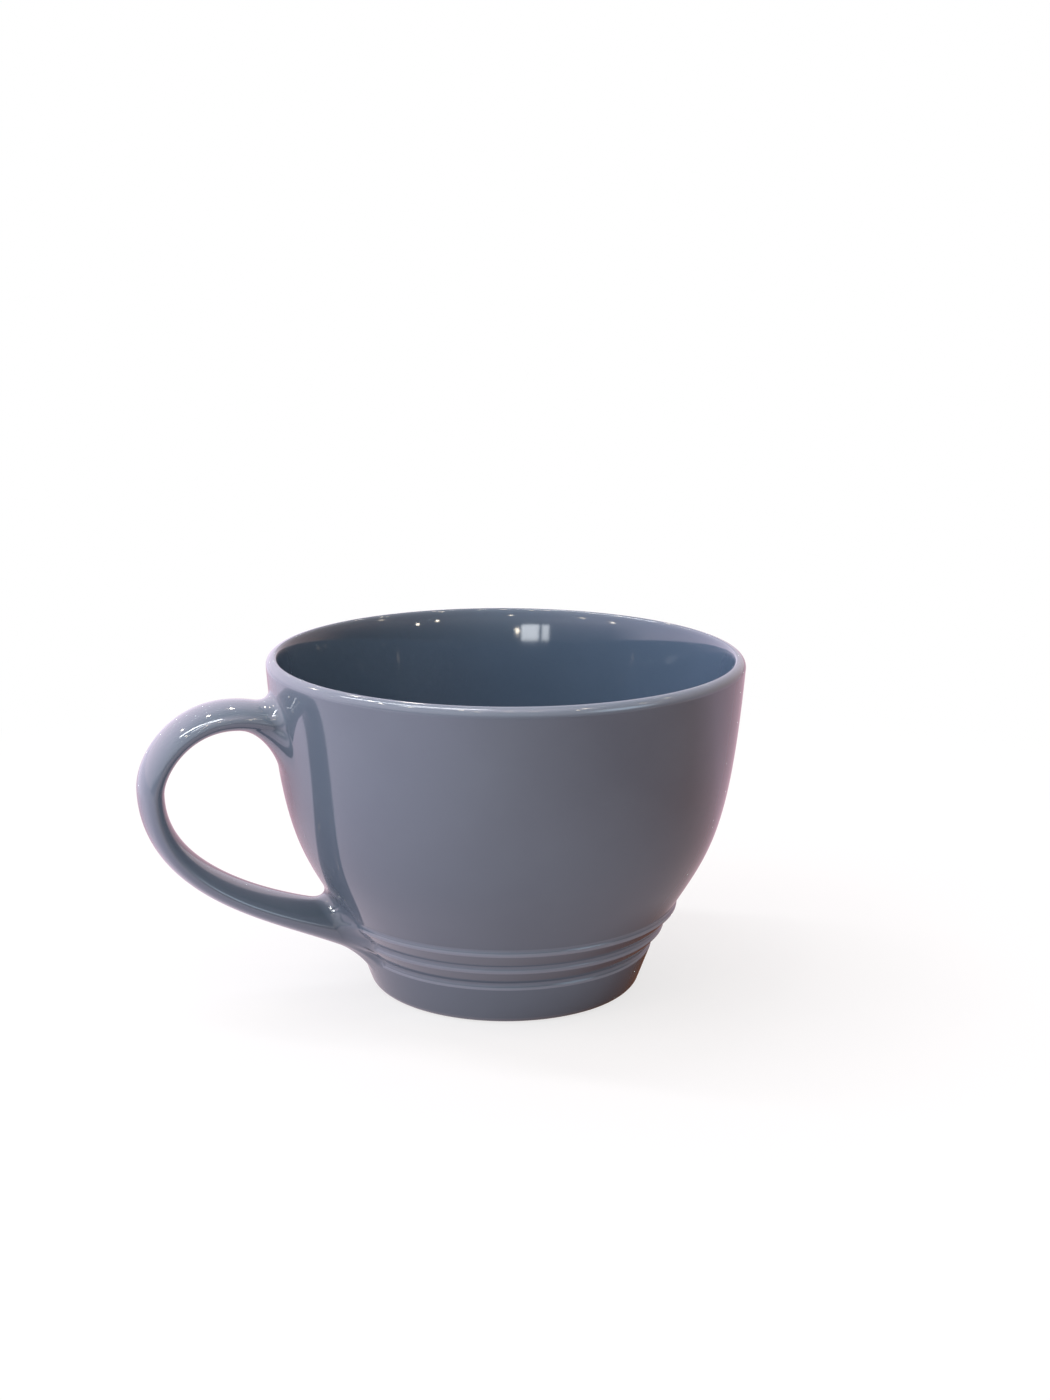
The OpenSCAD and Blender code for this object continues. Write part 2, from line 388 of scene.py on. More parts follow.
UPPER_ROOT = root_point(MUG_H - UPPER_ROOT_DROP)
LOWER_ROOT = root_point(RING_H - LOWER_ROOT_DROP)
BEND = np.array([LOOP_R - HANDLE_T / 2, MUG_H - BEND_DROP])
UPPER_DIR = np.array([math.cos(UPPER_RISE), math.sin(UPPER_RISE)])
LOWER_DIR = np.array([math.cos(LOWER_RISE), math.sin(LOWER_RISE)])
UPPER_ARM = [
    UPPER_ROOT,
    UPPER_ROOT + UPPER_DIR * (BEND[0] - UPPER_ROOT[0]) * UPPER_ROOT_PULL,
    BEND + [0, (UPPER_ROOT[1] - BEND[1]) * BEND_UP_PULL],
    BEND,
]
LOWER_ARM = [
    BEND,
    BEND - [0, (BEND[1] - LOWER_ROOT[1]) * BEND_DOWN_PULL],
    LOWER_ROOT + LOWER_DIR * (BEND[0] - LOWER_ROOT[0]) * LOWER_ROOT_PULL,
    LOWER_ROOT,
]


def strap_line(u):
    """Centre, direction of travel and thickness of the strap at each u."""
    upper = np.clip(u, 0, 1)
    lower = np.clip(u - 1, 0, 1)
    on_upper = (u < 1)[:, None]
    centre = np.where(on_upper, bezier(UPPER_ARM, upper), bezier(LOWER_ARM, lower))
    along = np.where(on_upper, bezier_direction(UPPER_ARM, upper), bezier_direction(LOWER_ARM, lower))
    lead = ROOT_LEAD * (np.minimum(u, 0) + np.maximum(u - 2, 0))
    root_t = np.where(u < 1, UPPER_ROOT_T, LOWER_ROOT_T)
    share = np.where(u < 1, 1 - upper, lower)
    thick = HANDLE_T + (root_t - HANDLE_T) * share**SWELL_POWER
    return centre + lead[:, None] * along, along, thick


def strap_skin(u, a):
    """Points of the strap's oval skin at u along it and angle a round it, and how its section faces."""
    u, a = np.broadcast_arrays(np.asarray(u, float), np.asarray(a, float))
    centre, along, thick = strap_line(u)
    none = np.zeros(len(u))
    outer = np.column_stack([along[:, 1], none, along[:, 0]])
    side = np.array([0, 1, 0])
    middle = np.column_stack([-centre[:, 0], none, centre[:, 1]])
    point = middle + (thick / 2 * np.cos(a))[:, None] * outer + (HANDLE_W / 2 * np.sin(a))[:, None] * side
    turned = unit(np.column_stack([np.cos(a) / thick, np.sin(a) / HANDLE_W]))
    return point, turned[:, :1] * outer + turned[:, 1:] * side, turned[:, 0]


def strap_normal(u, a):
    """Normals of the strap's skin, from how it runs along and round."""
    _, facing, _ = strap_skin(u, a)
    along = strap_skin(u + NUDGE, a)[0] - strap_skin(u - NUDGE, a)[0]
    around = strap_skin(u, a + NUDGE)[0] - strap_skin(u, a - NUDGE)[0]
    normal = unit(np.cross(around, along))
    return normal * np.sign((normal * facing).sum(1, keepdims=True))


def meeting(a, inside, outside):
    """Where on u each line along the skin meets the wall, between an end inside it and one outside."""
    low = np.full(len(a), float(inside))
    high = np.full(len(a), float(outside))
    for _ in range(HALVINGS):
        middle = (low + high) / 2
        buried = wall_gap(strap_skin(middle, a)[0]) < 0
        low = np.where(buried, middle, low)
        high = np.where(buried, high, middle)
    return high


def fillet(a, corner_u, reach, towards):
    """Rows of points that turn the strap's skin into the wall, and where on u they leave the strap."""
    corner, facing, flat = strap_skin(corner_u, a)
    weight = flat**2

    def blend(values):
        web, heel, beside = values
        return beside + (np.where(flat < 0, web, heel) - beside) * weight

    strap_reach, wall_reach = blend(reach["strap"]), blend(reach["wall"])
    leave_u = np.empty(len(a))
    for j, start in enumerate(corner_u):
        u = np.linspace(start, towards, RUN_STEPS)
        line = strap_skin(u, a[j])[0]
        run = np.r_[0, np.cumsum(np.linalg.norm(np.diff(line, axis=0), axis=1))]
        leave_u[j] = np.interp(strap_reach[j], run, u)
    leave = strap_skin(leave_u, a)[0]
    onwards = math.copysign(NUDGE, towards - corner_u[0])
    back = unit(leave - strap_skin(leave_u + onwards, a)[0])
    normal = wall_normal(corner)
    away = unit(facing - (facing * normal).sum(1, keepdims=True) * normal)
    land = on_wall(corner + wall_reach[:, None] * away)
    normal = wall_normal(land)
    away = unit(away - (away * normal).sum(1, keepdims=True) * normal)
    curves = [
        leave,
        leave + back * strap_reach[:, None] * FILLET_PULL,
        land - away * wall_reach[:, None] * FILLET_PULL,
        land,
    ]
    rows = bezier(curves, np.linspace(0, 1, FILLET_ROWS + 1))
    along = np.gradient(rows, axis=0)
    around = np.roll(rows, -1, axis=1) - np.roll(rows, 1, axis=1)
    normals = unit(np.cross(around, along))
    normals *= np.sign((normals * (facing + normal)).sum(-1, keepdims=True))
    normals[-1] = wall_normal(land)
    return rows[1:], normals[1:], leave_u


def add_strap(skin):
    """Adds the strap's skin with a fillet at each end, and returns the fillets' outlines on the wall."""
    a = 2 * math.pi * np.arange(STRAP_SIDES) / STRAP_SIDES
    upper, upper_normals, upper_u = fillet(a, meeting(a, *UPPER_SEARCH), UPPER_FILLET, BEND_U)
    lower, lower_normals, lower_u = fillet(a, meeting(a, *LOWER_SEARCH), LOWER_FILLET, BEND_U)
    # The fillets take the cove colour: pooled glaze and painted light
    pooled_and_painted_light = -ROOT_POOL_AND_PAINTED_LIGHT * np.sin(math.pi * np.linspace(0, 1, FILLET_ROWS + 1)[1:])
    rows = [skin.add(p, n, t) for p, n, t in zip(upper[::-1], upper_normals[::-1], pooled_and_painted_light[::-1])]
    for share in np.linspace(0, 1, STRAP_ROWS):
        u = upper_u + (lower_u - upper_u) * share
        # The strap's edges are paled: thin glaze and a painted highlight
        thin_edge_and_highlight = STRAP_THIN_AND_HIGHLIGHT * (1 - strap_skin(u, a)[2]**2)
        rows.append(skin.add(strap_skin(u, a)[0], strap_normal(u, a), thin_edge_and_highlight))
    rows += [skin.add(p, n, t) for p, n, t in zip(lower, lower_normals, pooled_and_painted_light)]
    for low, high in zip(rows, rows[1:]):
        skin.bridge(low, high)
    return rows[0], rows[-1]


def within(points, outline):
    """Which of these flat points lie inside a closed outline."""
    x, y = points[..., 0, None], points[..., 1, None]
    a, b = outline, np.roll(outline, -1, axis=0)
    crosses = (a[:, 1] > y) != (b[:, 1] > y)
    rise = np.where(crosses, b[:, 1] - a[:, 1], 1)
    reach = a[:, 0] + (y - a[:, 1]) * (b[:, 0] - a[:, 0]) / rise
    return (crosses & (x < reach)).sum(-1) % 2 == 1


# The kind of triangulation that keeps only what lies inside its edges
INSIDE_EDGES = 1


def stitch(skin, rows, outlines):
    """Adds the wall's faces, left open round each outline, and joins the opening's edge to the outline."""
    grid = np.array(rows)
    flat = np.column_stack([RING_R * np.arctan2(skin.points[:, 1], -skin.points[:, 0]), skin.points[:, 2]])
    opened = np.zeros((len(rows) - 1, TURN_STEPS), bool)
    for outline in outlines:
        loop = flat[outline]
        offset = loop - loop.mean(0)
        wide = loop + unit(offset) * STITCH_MARGIN
        inside = within(flat[grid], wide)
        touched = inside[:-1] | inside[1:]
        touched |= np.roll(touched, -1, axis=1)
        opened |= touched
        edges = {}
        for i, k in np.argwhere(touched):
            n = (k + 1) % TURN_STEPS
            ring = [grid[i, k], grid[i, n], grid[i + 1, n], grid[i + 1, k]]
            for pair in zip(ring, ring[1:] + ring[:1]):
                key = tuple(sorted(int(v) for v in pair))
                edges[key] = edges.get(key, 0) + 1
        rim = [e for e, count in edges.items() if count == 1]
        used = sorted({v for e in rim for v in e} | set(outline.tolist()))
        place = {v: n for n, v in enumerate(used)}
        wanted = [(place[p], place[q]) for p, q in rim]
        hole = [place[v] for v in outline.tolist()]
        onwards = np.roll(loop, -1, axis=0)
        if (loop[:, 0] * onwards[:, 1] - loop[:, 1] * onwards[:, 0]).sum() < 0:
            hole.reverse()
        spots = [Vector(flat[v]) for v in used]
        _, _, triangles, origin, _, holes = delaunay_2d_cdt(spots, wanted, [hole], INSIDE_EDGES, MERGE_GAP)
        for triangle, in_hole in zip(triangles, holes):
            if not in_hole:
                skin.faces.append([used[origin[v][0]] for v in triangle])
    for low, high, skip in zip(rows, rows[1:], opened):
        skin.bridge(low, high, skip)


# Materials: scales are in waves to a metre, and depths in metres

GLAZE_IOR = 1.6
GLAZE_ROUGH = (0.05, 0.09)
GLOSS_SCALE = 60
CLOUD_SCALE = 38
CLOUD_DETAIL = 4
RIPPLE_SCALE = 130
RIPPLE_DETAIL = 1
RIPPLE_STRENGTH = 0.03
RIPPLE_DEPTH = 0.0004
# How far edges are paled: thin glaze and a painted highlight
THIN_AND_HIGHLIGHT_SHARE = 0.7
# How far coves take the cove colour: pooled glaze and painted light
POOL_AND_PAINTED_LIGHT_SHARE = 0.5
CLAY_ROUGH = (0.75, 0.95)
GRAIN_SCALE = 900
GRAIN_DETAIL = 5
GRAIN_HARDNESS = 0.65
GRAIN_STRENGTH = 0.35
GRAIN_DEPTH = 0.0003
SPECK_SCALE = 420
SPECK_SHARE = 0.7
SPECK_COLOUR = (0.06, 0.04, 0.03)


def new_material(name):
    """A material, its nodes, its shader and the place on the object."""
    material = bpy.data.materials.new(name)
    material.use_nodes = True
    tree = material.node_tree
    shader = tree.nodes["Principled BSDF"]
    place = tree.nodes.new("ShaderNodeTexCoord")
    return material, tree, shader, place.outputs["Object"]


def noise(tree, place, scale, detail=2.0, roughness=0.5):
    """A noise over the object, whose scale is in waves to a metre."""
    node = tree.nodes.new("ShaderNodeTexNoise")
    node.inputs["Scale"].default_value = scale
    node.inputs["Detail"].default_value = detail
    node.inputs["Roughness"].default_value = roughness
    tree.links.new(place, node.inputs["Vector"])
    return node.outputs["Fac"]


def ramp(tree, value, stops):
    """A colour for each value, through stops of (place, colour)."""
    node = tree.nodes.new("ShaderNodeValToRGB")
    elements = node.color_ramp.elements
    while len(elements) < len(stops):
        elements.new(1.0)
    for element, (where, colour) in zip(elements, stops):
        element.position = where
        element.color = (*colour, 1)
    tree.links.new(value, node.inputs["Fac"])
    return node.outputs["Color"]


def spread(tree, value, low, high, to_low, to_high):
    """A value moved from one range to another, and held at its ends."""
    node = tree.nodes.new("ShaderNodeMapRange")
    for socket, number in zip(("From Min", "From Max", "To Min", "To Max"), (low, high, to_low, to_high)):
        node.inputs[socket].default_value = number
    tree.links.new(value, node.inputs["Value"])
    return node.outputs["Result"]


def colour_mix(tree, blend, a, b):
    """A mix of two colours, each written out or taken from a node: its factor and its result."""
    node = tree.nodes.new("ShaderNodeMix")
    node.data_type = "RGBA"
    node.blend_type = blend
    sockets = [socket for socket in node.inputs if socket.type == "RGBA"]
    for socket, colour in zip(sockets, (a, b)):
        if isinstance(colour, tuple):
            socket.default_value = (*colour, 1)
        else:
            tree.links.new(colour, socket)
    return node.inputs["Factor"], next(out for out in node.outputs if out.type == "RGBA")


def mixed(tree, factor, a, b):
    """Two colours mixed by a factor."""
    share, result = colour_mix(tree, "MIX", a, b)
    tree.links.new(factor, share)
    return result


def multiplied(tree, a, b):
    """Two colours multiplied together."""
    share, result = colour_mix(tree, "MULTIPLY", a, b)
    share.default_value = 1
    return result


def bumped(tree, shader, height, strength, depth):
    """Gives a shader fine relief."""
    node = tree.nodes.new("ShaderNodeBump")
    node.inputs["Strength"].default_value = strength
    node.inputs["Distance"].default_value = depth
    tree.links.new(height, node.inputs["Height"])
    tree.links.new(node.outputs["Normal"], shader.inputs["Normal"])


def glaze_material(name, pooled_and_painted_light, clouded, plain, thin_and_highlight):
    """A glossy glaze, paler over edges for thin glaze and a painted highlight, in its cove colour in coves
    for pooled glaze and painted light, faintly clouded and rippled.
    """
    material, tree, shader, place = new_material(name)
    cloud = noise(tree, place, CLOUD_SCALE, CLOUD_DETAIL)
    body = ramp(tree, cloud, [(0.3, clouded), (0.6, plain)])
    glaze_lie_and_light = tree.nodes.new("ShaderNodeAttribute")
    glaze_lie_and_light.attribute_name = "glaze_thin_and_painted_light"
    # Paler on edges: thin glaze and a painted highlight
    thin_edge_and_highlight = spread(tree, glaze_lie_and_light.outputs["Fac"], 0.1, 1, 0, THIN_AND_HIGHLIGHT_SHARE)
    # Cove colour in coves: pooled glaze and painted light
    pool_and_painted_light = spread(tree, glaze_lie_and_light.outputs["Fac"], -0.1, -1, 0, POOL_AND_PAINTED_LIGHT_SHARE)
    body = mixed(tree, thin_edge_and_highlight, body, thin_and_highlight)
    body = mixed(tree, pool_and_painted_light, body, pooled_and_painted_light)
    tree.links.new(body, shader.inputs["Base Color"])
    gloss = spread(tree, noise(tree, place, GLOSS_SCALE), 0.35, 0.65, *GLAZE_ROUGH)
    tree.links.new(gloss, shader.inputs["Roughness"])
    shader.inputs["IOR"].default_value = GLAZE_IOR
    bumped(tree, shader, noise(tree, place, RIPPLE_SCALE, RIPPLE_DETAIL), RIPPLE_STRENGTH, RIPPLE_DEPTH)
    return material


def clay_material(name, dark, pale):
    """Bare fired clay, with a sandy grain and dark specks."""
    material, tree, shader, place = new_material(name)
    grain = noise(tree, place, GRAIN_SCALE, GRAIN_DETAIL, GRAIN_HARDNESS)
    body = ramp(tree, grain, [(0.32, dark), (0.68, pale)])
    speck = spread(tree, noise(tree, place, SPECK_SCALE), 0.66, 0.72, 0, SPECK_SHARE)
    tree.links.new(mixed(tree, speck, body, SPECK_COLOUR), shader.inputs["Base Color"])
    tree.links.new(spread(tree, grain, 0.3, 0.7, *CLAY_ROUGH), shader.inputs["Roughness"])
    bumped(tree, shader, grain, GRAIN_STRENGTH, GRAIN_DEPTH)
    return material


outer_glaze = glaze_material(
    "outer_glaze",
    # Paler than the plain glaze: painted fill light that lifts the shade in the rings' coves and the
    # handle's fillets
    pooled_and_painted_light=(0.155, 0.188, 0.228),
    clouded=(0.088, 0.117, 0.149),
    plain=(0.096, 0.128, 0.161),
    # Partly thin glaze, partly a painted highlight on the ridges, the lip and the strap's edges
    thin_and_highlight=(0.200, 0.232, 0.274),
)
# Darker and bluer than the outer glaze; part of that darkness is painted shade of the mug's inside
liner_glaze = glaze_material(
    "liner_glaze",
    # Darker in the coves: pooled glaze and painted shade
    pooled_and_painted_light=(0.042, 0.068, 0.102),
    clouded=(0.053, 0.085, 0.127),
    plain=(0.058, 0.092, 0.138),
    # Partly thin glaze, partly a painted highlight on the lip
    thin_and_highlight=(0.180, 0.212, 0.252),
)
stoneware = clay_material("stoneware", dark=(0.26, 0.215, 0.185), pale=(0.40, 0.34, 0.30))
slip = clay_material("slip", dark=(0.33, 0.28, 0.24), pale=(0.46, 0.40, 0.355))


# Pieces

def make_outer_coat():
    """The outer glaze, from the glaze line to the crown and round the handle, closed against the clay."""
    skin = Skin()
    rows = skin.turn(OUTSIDE, OUTSIDE_NORMALS, thinning_and_painted_light(OUTSIDE))
    stitch(skin, rows, add_strap(skin))
    back = skin.turn(OUTSIDE - GLAZE_T * OUTSIDE_NORMALS, -OUTSIDE_NORMALS)[::-1]
    for low, high in zip([rows[-1], *back], [*back, rows[0]]):
        skin.bridge(low, high)
    return skin.piece("outer_coat", outer_glaze)


def make_liner_coat():
    """The glaze inside, from the crown of the lip over the whole floor, closed against the clay."""
    skin = Skin()
    path = inside_path()
    normals = path_normals(path)
    rows = skin.turn(path, normals, thinning_and_painted_light(path))
    back = skin.turn(path - GLAZE_T * normals, -normals)[::-1]
    for low, high in zip([*rows[:-1], *back[:-1]], [*rows[1:], *back[1:]]):
        skin.bridge(low, high)
    skin.bridge(back[-1], rows[0])
    return skin.piece("liner_coat", liner_glaze)


def make_bare_bowl():
    """The turned clay: its hollow underside, its rest, and the body under both coats."""
    inside = inside_path()
    coated = np.vstack([OUTSIDE, inside[1:]])
    normals = path_normals(coated)
    bare = coated - GLAZE_T * normals
    recess = [
        (0, RECESS_H),
        (REST_IN - RECESS_H / 2, RECESS_H),
        (REST_IN, 0),
        (REST_OUT, 0),
        tuple(bare[0]),
    ]
    under = [np.array(recess[:1], float)]
    under += [rounded(*recess[i:i + 3], RECESS_EDGE) for i in range(len(recess) - 2)]
    path = np.vstack([evened(np.vstack(under)), bare])
    skin = Skin()
    rows = skin.turn(path, path_normals(path))
    for low, high in zip(rows, rows[1:]):
        skin.bridge(low, high)
    return skin.piece("bare_bowl", stoneware)


def place_piece(piece, slot, *nodes):
    """Sets a piece in place of CAD nodes; the slot, its finish, is not used."""
    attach(piece, "root")
    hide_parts(*nodes)


def dress_node(name, material):
    """Gives a CAD node that stays a better material."""
    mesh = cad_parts[name].data
    mesh.materials.clear()
    mesh.materials.append(material)


outer_coat = make_outer_coat()
liner_coat = make_liner_coat()
place_piece(outer_coat, "outer_glaze", "outer_glaze")
place_piece(liner_coat, "liner_glaze", "liner_glaze")
place_piece(make_bare_bowl(), "stoneware", "bowl")
dress_node("handle", stoneware)
dress_node("upper_slip_joint", slip)
dress_node("lower_slip_joint", slip)


# Camera, at the photograph's place: the handle is turned towards it from the left

PHOTO_HEIGHT_PX = 1400
PHOTO_FOCAL_PX = 2000
SENSOR = 36
HANDLE_TURN = math.radians(17.7)
CAMERA_AWAY = 0.4708
CAMERA_UP = 0.1838
CAMERA_PITCH = 0.2369
CAMERA_YAW = 0.0098
CAMERA_ROLL = 0.0069
CAMERA_NEAR = 0.01
AHEAD = Vector((math.sin(HANDLE_TURN), math.cos(HANDLE_TURN), 0))
RIGHT = Vector((math.cos(HANDLE_TURN), -math.sin(HANDLE_TURN), 0))


def studio(right, ahead, up):
    """A place in the studio, in metres from the mug's foot, as the camera sees it."""
    return RIGHT * right + AHEAD * ahead + Vector((0, 0, up))


def make_camera():
    """The camera that takes the photograph's view."""
    data = bpy.data.cameras.new("camera")
    data.sensor_fit = "VERTICAL"
    data.sensor_height = SENSOR
    data.lens = SENSOR * PHOTO_FOCAL_PX / PHOTO_HEIGHT_PX
    data.clip_start = CAMERA_NEAR
    camera = bpy.data.objects.new("camera", data)
    turn = Matrix.Rotation(-HANDLE_TURN - CAMERA_YAW, 4, "Z")
    tilt = Matrix.Rotation(math.pi / 2 - CAMERA_PITCH, 4, "X")
    roll = Matrix.Rotation(CAMERA_ROLL, 4, "Z")
    camera.matrix_world = Matrix.Translation(studio(0, -CAMERA_AWAY, CAMERA_UP)) @ turn @ tilt @ roll
    bpy.context.scene.collection.objects.link(camera)
    bpy.context.scene.camera = camera


# Light: soft and brighter from the left, with slim lamps and small bulbs that the glaze mirrors

WORLD_LEVEL = 2.2
COOL_LAMP = (0.92, 0.96, 1.0)
BLUE_LAMP = (0.55, 0.80, 1.0)
WARM_LAMP = (1.0, 0.88, 0.70)
PINK_LAMP = (1.0, 0.78, 0.86)
MIDDLE = Vector((0, 0, MUG_H * MM / 2))

# Each flat lamp: azimuth and elevation, how far away, width and height in metres, power and colour
LAMPS = {
    "key": (-55, 42, 1.5, 1.0, 1.0, 7.5, COOL_LAMP),
    "left_fill": (-85, 32, 1.5, 1.0, 1.0, 7, PINK_LAMP),
    "top_panel": (0, 82, 1.5, 1.8, 1.8, 20, PINK_LAMP),
    "slim_lamp": (-105, 64, 2.2, 0.12, 1.7, 18, COOL_LAMP),
    "lip_lamp": (-76, 72, 2.2, 0.1, 1.1, 8, COOL_LAMP),
    "right_panel": (58, 25, 2.5, 2.0, 1.4, 38, BLUE_LAMP),
    "wide_pane": (-13, 6.5, 3, 0.5, 0.45, 6.5, COOL_LAMP),
    "slim_pane": (-21.4, 6.5, 3, 0.2, 0.45, 2.2, COOL_LAMP),
}
NOT_MIRRORED = ("key", "left_fill")
SOFTENED = ("top_panel", "right_panel")
OUTSIDE_ONLY = ("top_panel", "right_panel", "lip_lamp")
INSIDE_ONLY = ("left_fill", "wide_pane", "slim_pane")

# Bulbs stand in a sweep of azimuths, and each strays from its row by a wave
BULB_AWAY = 2.5
BULB_R = 0.045
BULB_COUNT = 14
BULB_POWER = 6
BULB_FROM = -170
BULB_SWEEP = 280
BULB_LOWEST = 40
BULB_RISE = 25
LOW_BULB_COUNT = 7
LOW_BULB_POWER = 2.5
LOW_BULB_FROM = -60
LOW_BULB_SWEEP = 135
LOW_BULB_HEIGHT = 16
STRAY_UP = 8
STRAY_UP_STEP = 2.4
STRAY_ASIDE = 10
STRAY_ASIDE_STEP = 3.7


def bearing(azimuth, elevation, away):
    """A place seen from the mug at these degrees: azimuth 0 is towards the camera and -90 is left."""
    a, e = math.radians(azimuth), math.radians(elevation)
    return MIDDLE + studio(math.sin(a) * math.cos(e), -math.cos(a) * math.cos(e), math.sin(e)) * away


def flat_lamp(name, azimuth, elevation, away, width, height, power, colour):
    """A flat lamp that faces the mug."""
    data = bpy.data.lights.new(name, "AREA")
    data.shape = "RECTANGLE"
    data.size = width
    data.size_y = height
    data.energy = power
    data.color = colour
    lamp = bpy.data.objects.new(name, data)
    spot = bearing(azimuth, elevation, away)
    lamp.location = spot
    lamp.rotation_euler = (MIDDLE - spot).to_track_quat("-Z", "Y").to_euler()
    bpy.context.scene.collection.objects.link(lamp)
    return lamp


def distance(tree, place, spot):
    """How far a place lies from a spot."""
    node = tree.nodes.new("ShaderNodeVectorMath")
    node.operation = "DISTANCE"
    node.inputs[1].default_value = spot
    tree.links.new(place, node.inputs[0])
    return node.outputs["Value"]


def soften(lamp):
    """Fades a flat lamp towards its sides, so that the glaze mirrors it with no hard edge."""
    lamp.data.use_nodes = True
    tree = lamp.data.node_tree
    place = tree.nodes.new("ShaderNodeNewGeometry").outputs["Parametric"]
    fade = spread(tree, distance(tree, place, (0.5, 0.5, 0)), 0.05, 0.5, 1, 0)
    tree.links.new(fade, tree.nodes["Emission"].inputs["Strength"])


def light_only(lamp, piece):
    """Keeps a lamp's light to one piece."""
    lit = bpy.data.collections.new(f"{lamp.name}_lights")
    lit.objects.link(piece)
    lamp.light_linking.receiver_collection = lit


def bulb(name, azimuth, elevation, power):
    """A small round lamp."""
    data = bpy.data.lights.new(name, "POINT")
    data.shadow_soft_size = BULB_R
    data.energy = power
    data.color = WARM_LAMP
    made = bpy.data.objects.new(name, data)
    made.location = bearing(azimuth, elevation, BULB_AWAY)
    bpy.context.scene.collection.objects.link(made)
    return made


def make_bulbs(inside):
    """Small bulbs all round, higher on the camera's side, and a low row that sparkles in the far lip."""
    for k in range(BULB_COUNT):
        azimuth = BULB_SWEEP * k / (BULB_COUNT - 1) + BULB_FROM
        rise = BULB_RISE * math.cos(math.radians(azimuth) / 2)**2
        elevation = BULB_LOWEST + rise + STRAY_UP * math.sin(STRAY_UP_STEP * k)
        bulb(f"bulb_{k}", azimuth, elevation, BULB_POWER)
    for k in range(LOW_BULB_COUNT):
        aside = STRAY_ASIDE * math.sin(STRAY_ASIDE_STEP * k)
        azimuth = LOW_BULB_SWEEP * k / (LOW_BULB_COUNT - 1) + LOW_BULB_FROM + aside
        elevation = LOW_BULB_HEIGHT + STRAY_UP * math.sin(STRAY_UP_STEP * k)
        light_only(bulb(f"low_bulb_{k}", azimuth, elevation, LOW_BULB_POWER), inside)


def make_lights(outside, inside):
    """Soft light from the left and above, the lamps that the glaze mirrors, and two panes inside."""
    lamps = {name: flat_lamp(name, *facts) for name, facts in LAMPS.items()}
    for name in NOT_MIRRORED:
        lamps[name].visible_glossy = False
    for name in SOFTENED:
        soften(lamps[name])
    for name in OUTSIDE_ONLY:
        light_only(lamps[name], outside)
    for name in INSIDE_ONLY:
        light_only(lamps[name], inside)
    make_bulbs(inside)


def across(tree, place, direction, reach):
    """How far a place lies along a direction, from 0 at -reach to 1 at reach."""
    node = tree.nodes.new("ShaderNodeVectorMath")
    node.operation = "DOT_PRODUCT"
    node.inputs[1].default_value = direction
    tree.links.new(place, node.inputs[0])
    return spread(tree, node.outputs["Value"], -reach, reach, 0, 1)


def grey(level):
    return (level, level, level)


def make_world():
    """Surroundings: lavender on the left, dim and warm on the right, and dark low down in front."""
    world = bpy.data.worlds.new("world")
    world.use_nodes = True
    bpy.context.scene.world = world
    tree = world.node_tree
    place = tree.nodes.new("ShaderNodeTexCoord").outputs["Generated"]
    side = ramp(tree, across(tree, place, RIGHT, 1), [
        (0.0, (1.04, 0.95, 1.04)),
        (0.5, (0.58, 0.58, 0.62)),
        (1.0, (0.36, 0.25, 0.18)),
    ])
    depth = ramp(tree, across(tree, place, AHEAD, 1), [(0.0, grey(0.75)), (1.0, (0.93, 0.82, 0.90))])
    height = across(tree, place, Vector((0, 0, 1)), 1)
    low = ramp(tree, height, [(0.54, grey(0.2)), (0.62, grey(1.0))])
    facing = across(tree, place, studio(0.3, -0.95, 0), 1)
    front = mixed(tree, spread(tree, facing, 0.42, 0.63, 0, 1), grey(1.0), low)
    rise = ramp(tree, height, [(0.8, grey(1.0)), (1.0, (0.36, 0.34, 0.31))])
    around = multiplied(tree, multiplied(tree, side, depth), multiplied(tree, front, rise))
    path = tree.nodes.new("ShaderNodeLightPath")
    shown = mixed(tree, path.outputs["Is Camera Ray"], around, grey(1 / WORLD_LEVEL))
    tree.links.new(shown, tree.nodes["Background"].inputs["Color"])
    tree.nodes["Background"].inputs["Strength"].default_value = WORLD_LEVEL


# Floor: its tone, its glow in the glaze, where the mug shades it, and where it turns white

FLOOR_REACH = 20
FLOOR_TONE = 0.75
FLOOR_GLOW = 1.6
SHADE_SPOT = studio(0.015, 0.005, 0)
SHADE_NEAR = 0.03
SHADE_FAR = 0.6
WHITE_NEAR = 0.05
WHITE_FAR = 0.3
WHITE_LEAST = 0.72


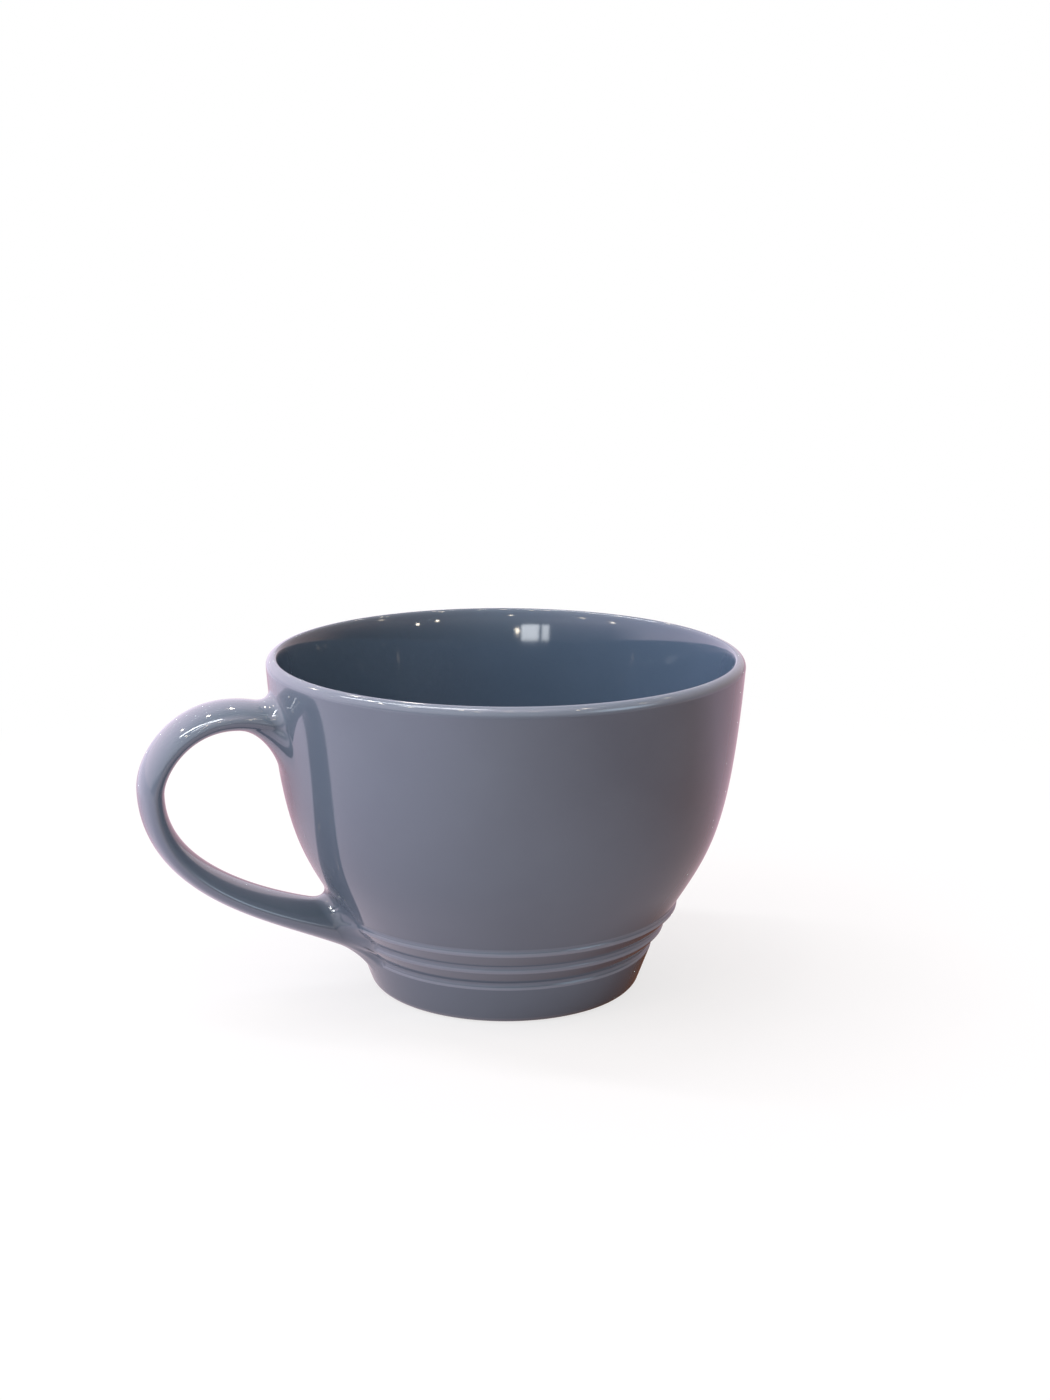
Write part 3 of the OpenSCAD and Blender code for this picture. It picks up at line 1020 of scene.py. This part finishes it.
def floor_glow(tree, place):
    """What the glaze mirrors: pale on the left, dim on the right and behind, and dark under the mug."""
    side = ramp(tree, across(tree, place, RIGHT, 0.2), [
        (0.0, (0.98, 0.85, 1.02)),
        (0.175, (0.88, 0.75, 0.90)),
        (0.5, (0.65, 0.54, 0.57)),
        (0.875, (0.28, 0.13, 0.09)),
    ])
    back = ramp(tree, across(tree, place, RIGHT, 0.25), [
        (0.0, (0.86, 0.75, 0.92)),
        (0.25, (0.48, 0.32, 0.38)),
    ])
    behind = spread(tree, across(tree, place, AHEAD, 0.1), 0.5, 0.95, 0, 1)
    far = ramp(tree, across(tree, place, AHEAD, 0.6), [
        (0.08, grey(0.35)),
        (0.22, grey(0.65)),
        (0.3, grey(1.0)),
    ])
    shade = spread(tree, distance(tree, place, SHADE_SPOT), SHADE_NEAR, SHADE_FAR, 0, 1)
    close = ramp(tree, shade, [
        (0.0, (0.18, 0.08, 0.03)),
        (0.026, grey(0.62)),
        (0.063, grey(0.82)),
        (0.18, grey(1.0)),
    ])
    node = tree.nodes.new("ShaderNodeEmission")
    node.inputs["Strength"].default_value = FLOOR_GLOW
    colour = multiplied(tree, mixed(tree, behind, side, back), multiplied(tree, close, far))
    tree.links.new(colour, node.inputs["Color"])
    return node.outputs["Emission"]


def make_floor():
    """A pale floor that keeps the mug's shadow and turns plain white further off."""
    mesh = bpy.data.meshes.new("floor")
    corners = [(FLOOR_REACH * x, FLOOR_REACH * y, 0) for x, y in ((-1, -1), (1, -1), (1, 1), (-1, 1))]
    mesh.from_pydata(corners, [], [(0, 1, 2, 3)])
    floor = bpy.data.objects.new("floor", mesh)
    bpy.context.scene.collection.objects.link(floor)
    material, tree, shader, place = new_material("floor")
    material.cycles.emission_sampling = "NONE"
    shader.inputs["Base Color"].default_value = (*grey(FLOOR_TONE), 1)
    shader.inputs["Roughness"].default_value = 1
    shader.inputs["Specular IOR Level"].default_value = 0
    white = tree.nodes.new("ShaderNodeEmission")
    seen = tree.nodes.new("ShaderNodeMixShader")
    away = distance(tree, place, (0, 0, 0))
    tree.links.new(spread(tree, away, WHITE_NEAR, WHITE_FAR, WHITE_LEAST, 1), seen.inputs["Fac"])
    tree.links.new(shader.outputs["BSDF"], seen.inputs[1])
    tree.links.new(white.outputs["Emission"], seen.inputs[2])
    path = tree.nodes.new("ShaderNodeLightPath")
    both = tree.nodes.new("ShaderNodeMixShader")
    tree.links.new(path.outputs["Is Camera Ray"], both.inputs["Fac"])
    tree.links.new(floor_glow(tree, place), both.inputs[1])
    tree.links.new(seen.outputs["Shader"], both.inputs[2])
    tree.links.new(both.outputs["Shader"], tree.nodes["Material Output"].inputs["Surface"])
    mesh.materials.append(material)


make_camera()
make_lights(outer_coat, liner_coat)
make_world()
make_floor()
bpy.context.scene.view_settings.view_transform = "Standard"
